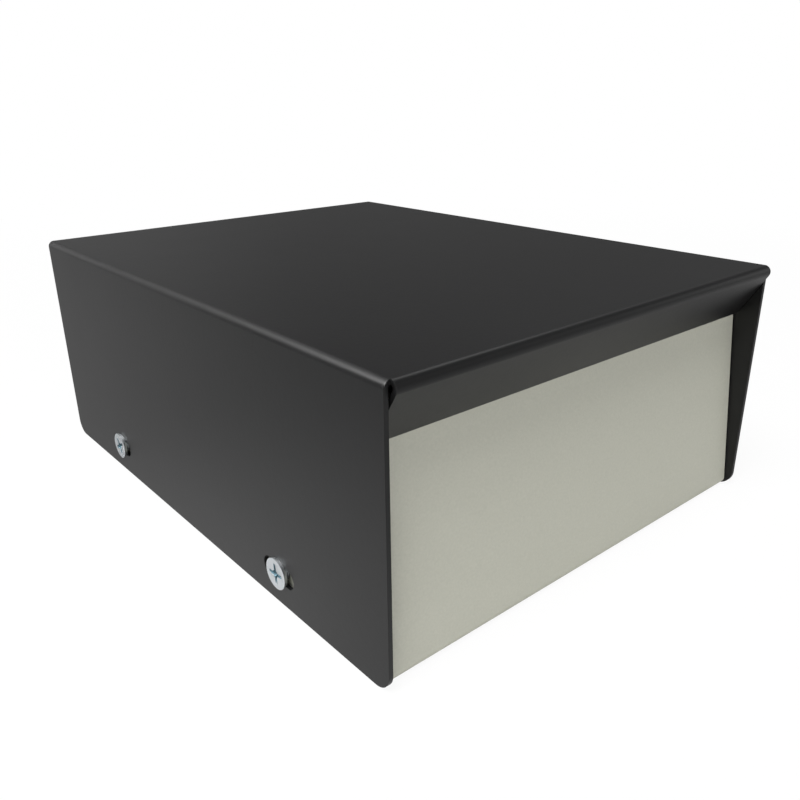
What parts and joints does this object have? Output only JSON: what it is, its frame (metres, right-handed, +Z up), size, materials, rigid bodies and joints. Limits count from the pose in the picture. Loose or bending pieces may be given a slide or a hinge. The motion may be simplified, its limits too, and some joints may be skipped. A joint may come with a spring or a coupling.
{
  "type": "steel instrument enclosure",
  "caption": "Folded steel instrument case: a black cover with overhanging front and rear lips screwed over a light grey base with leaning end panels.",
  "frame": {"origin": "middle of the case, at the level of the cover's lower edges", "axes": "+X to the right across the front, +Y to the rear, +Z up"},
  "size_m": [0.1544, 0.2004, 0.0764],
  "materials": {
    "cover_paint": "satin black paint on steel sheet",
    "base_paint": "light grey paint with a fine texture on steel sheet",
    "zinc_plate": "bright zinc plate"
  },
  "bodies": {
    "root": {"cover": "cover_paint", "base": "base_paint", "cover_screws": "zinc_plate"}
  },
  "joints": []
}
